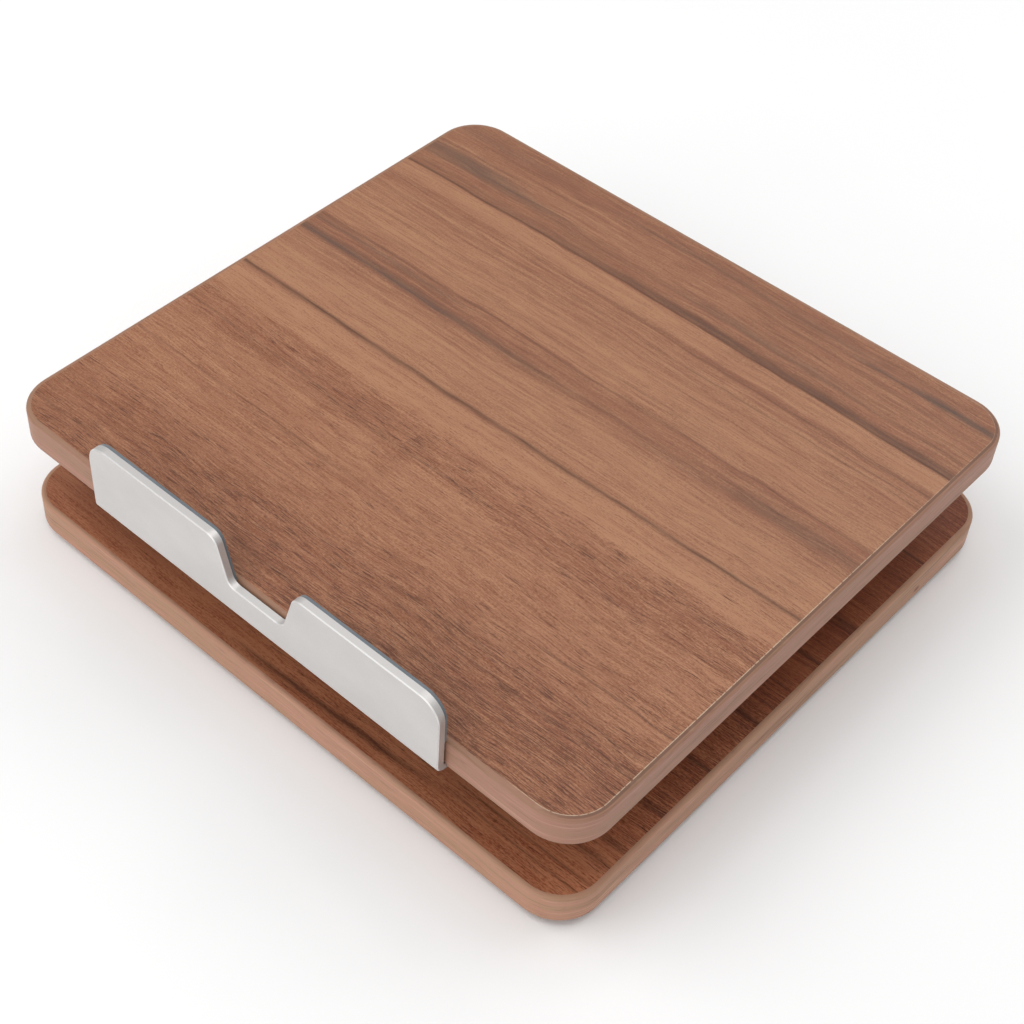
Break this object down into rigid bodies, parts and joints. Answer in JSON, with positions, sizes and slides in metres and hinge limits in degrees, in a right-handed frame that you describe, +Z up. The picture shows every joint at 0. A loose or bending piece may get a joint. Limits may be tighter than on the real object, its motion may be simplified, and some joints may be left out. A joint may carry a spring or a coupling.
{
  "type": "folding laptop riser",
  "caption": "Folding desk-top laptop riser: veneered base board and deck board joined by hinged side arms, with a bent aluminium front lip that holds the laptop.",
  "frame": {"origin": "on the desk, at the middle of the whole folded object's footprint", "axes": "+Z up, +X along the boards' long side, -Y to the front, where the lip is"},
  "size_m": [0.28, 0.2642, 0.0825],
  "materials": {
    "walnut_veneer": "matt lacquered walnut veneer",
    "walnut_band": "matt lacquered walnut edge band",
    "board_core": "raw fibreboard",
    "foot_rubber": "matt",
    "bracket_steel": "black powder coat",
    "screw_steel": "zinc plated",
    "bolt_steel": "plain stainless",
    "spring_steel": "oiled spring steel",
    "washer_bronze": "plain bronze",
    "arm_aluminium": "bead-blasted, anodised",
    "cap_plastic": "fine texture",
    "lip_aluminium": "bead-blasted, anodised, bright-cut edges",
    "pad_silicone": "matt silicone"
  },
  "bodies": {
    "base": {"base_top_veneer": "walnut_veneer", "base_bottom_veneer": "walnut_veneer", "base_edge_band": "walnut_band", "base_core": "board_core", "base_feet": "foot_rubber", "base_bracket_right": "bracket_steel", "base_bracket_left": "bracket_steel", "base_bracket_screws": "screw_steel", "base_hinge_bolts": "bolt_steel", "base_lock_nuts": "bolt_steel", "base_disc_springs": "spring_steel", "base_friction_washers": "washer_bronze"},
    "arms": {"cross_bar_screws": "screw_steel", "arm_right": "arm_aluminium", "arm_left": "arm_aluminium", "rear_cross_bar": "arm_aluminium", "front_cross_bar": "arm_aluminium", "arm_hinge_caps": "cap_plastic"},
    "deck": {"deck_top_veneer": "walnut_veneer", "deck_bottom_veneer": "walnut_veneer", "deck_edge_band": "walnut_band", "deck_core": "board_core", "deck_bracket_right": "bracket_steel", "deck_bracket_left": "bracket_steel", "deck_bracket_screws": "screw_steel", "lip_screws": "screw_steel", "deck_hinge_bolts": "bolt_steel", "deck_lock_nuts": "bolt_steel", "deck_disc_springs": "spring_steel", "deck_friction_washers": "washer_bronze", "front_lip": "lip_aluminium", "lip_pad_right": "pad_silicone", "lip_pad_left": "pad_silicone"}
  },
  "joints": [
    {"name": "arm_raise", "type": "hinge", "parent": "base", "child": "arms", "pos_m": [0, 0.1061, 0.0243], "axis": [-1, 0, 0], "range_deg": [0, 60]},
    {"name": "deck_tilt", "type": "hinge", "parent": "arms", "child": "deck", "pos_m": [0, -0.1099, 0.0403], "axis": [1, 0, 0], "range_deg": [0, 90]}
  ]
}
